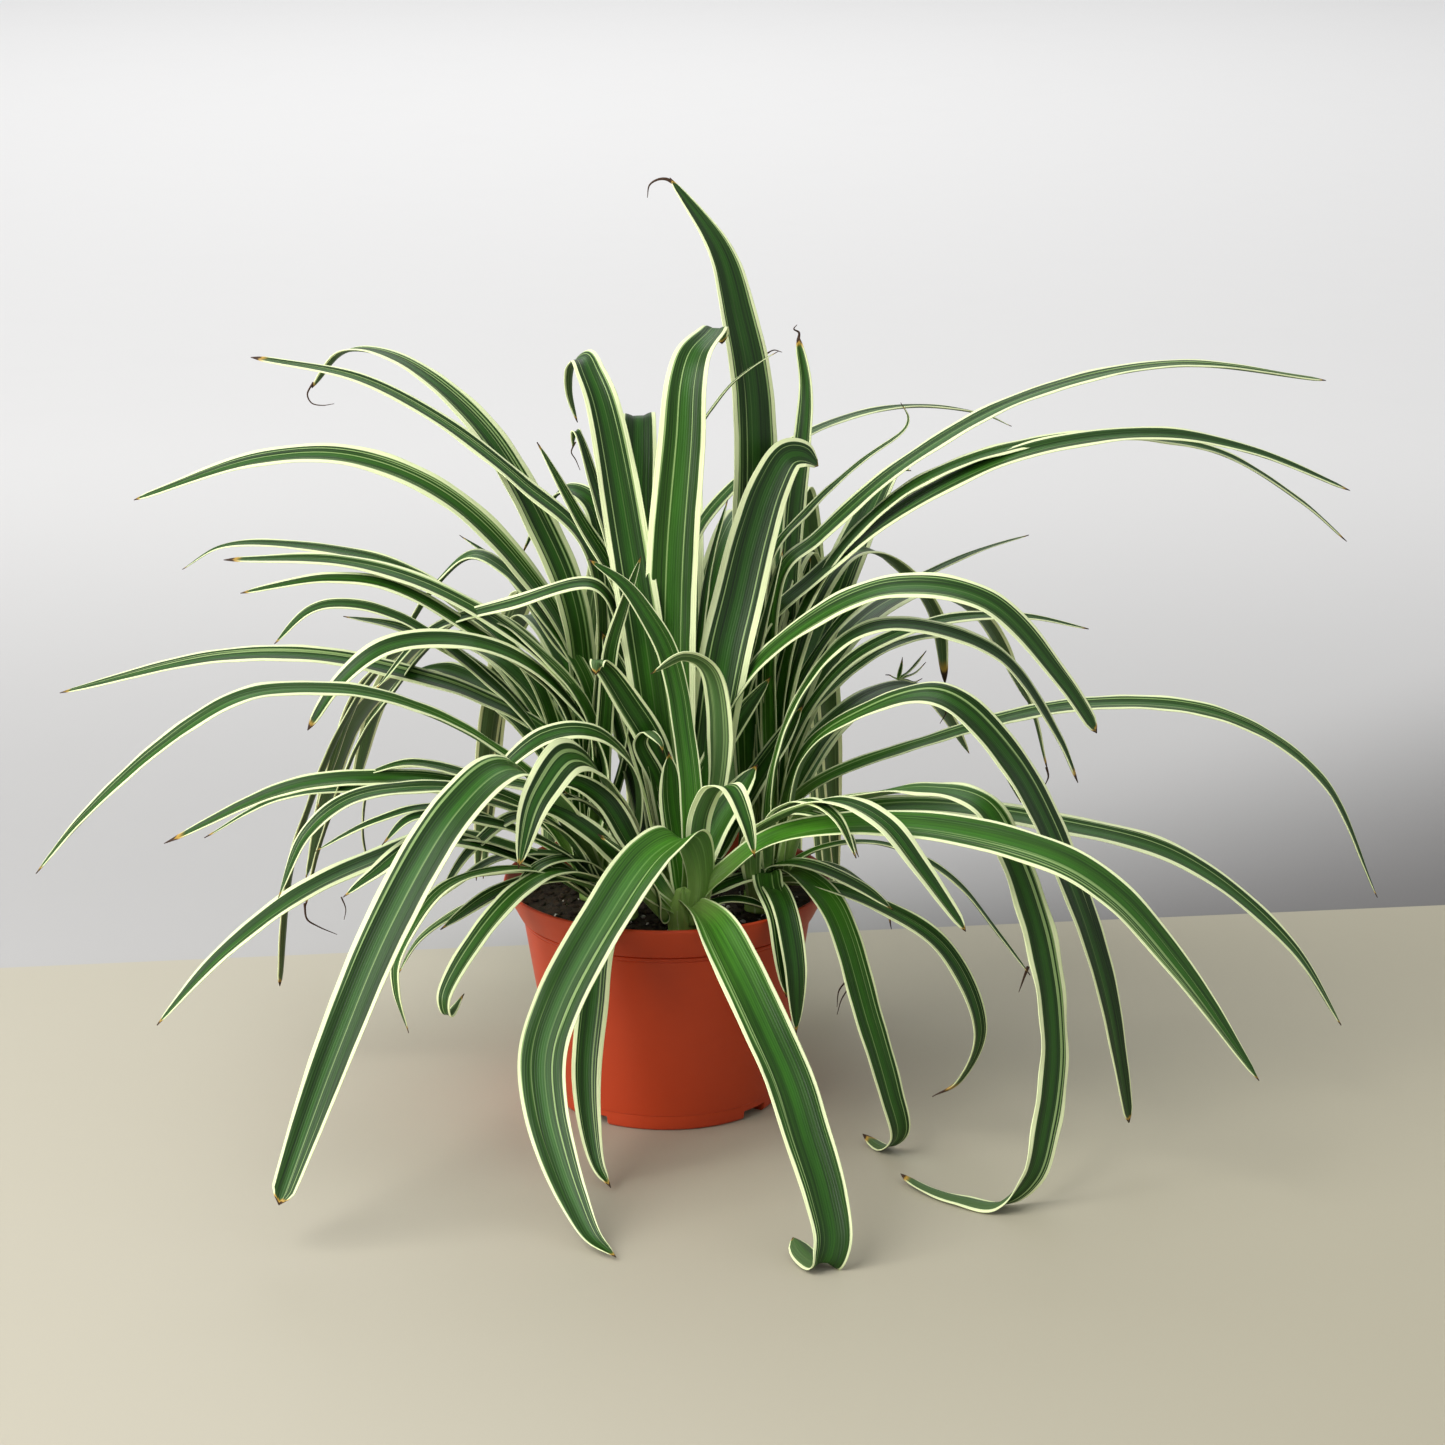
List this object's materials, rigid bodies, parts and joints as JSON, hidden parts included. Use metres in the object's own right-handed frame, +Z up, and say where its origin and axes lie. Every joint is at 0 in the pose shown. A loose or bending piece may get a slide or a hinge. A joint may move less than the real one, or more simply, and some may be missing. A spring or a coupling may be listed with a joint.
{
  "type": "potted spider plant",
  "caption": "Variegated spider plant with long arching striped blades in rosettes, growing from soil in a flared plastic nursery pot.",
  "frame": {"origin": "middle of the pot's underside, on the surface it stands on", "axes": "+Z up along the pot's axis, -Y towards the plant's front, +X to the right seen from the front"},
  "size_m": [0.6254, 0.4954, 0.4255],
  "materials": {
    "pot_plastic": "satin moulded polypropylene, terracotta colour, with faint turning lines",
    "potting_soil": "dark damp peat with bark and white perlite crumbs",
    "leaf": "satin leaf skin, mid green with cream margins, a paler keel and fine lengthwise veins"
  },
  "bodies": {
    "root": {"pot": "pot_plastic", "soil": "potting_soil", "crown_front": "leaf", "crown_centre": "leaf", "crown_left": "leaf", "crown_front_left": "leaf", "crown_right": "leaf", "crown_back": "leaf", "crown_back_left": "leaf", "crown_back_right": "leaf"}
  },
  "joints": []
}
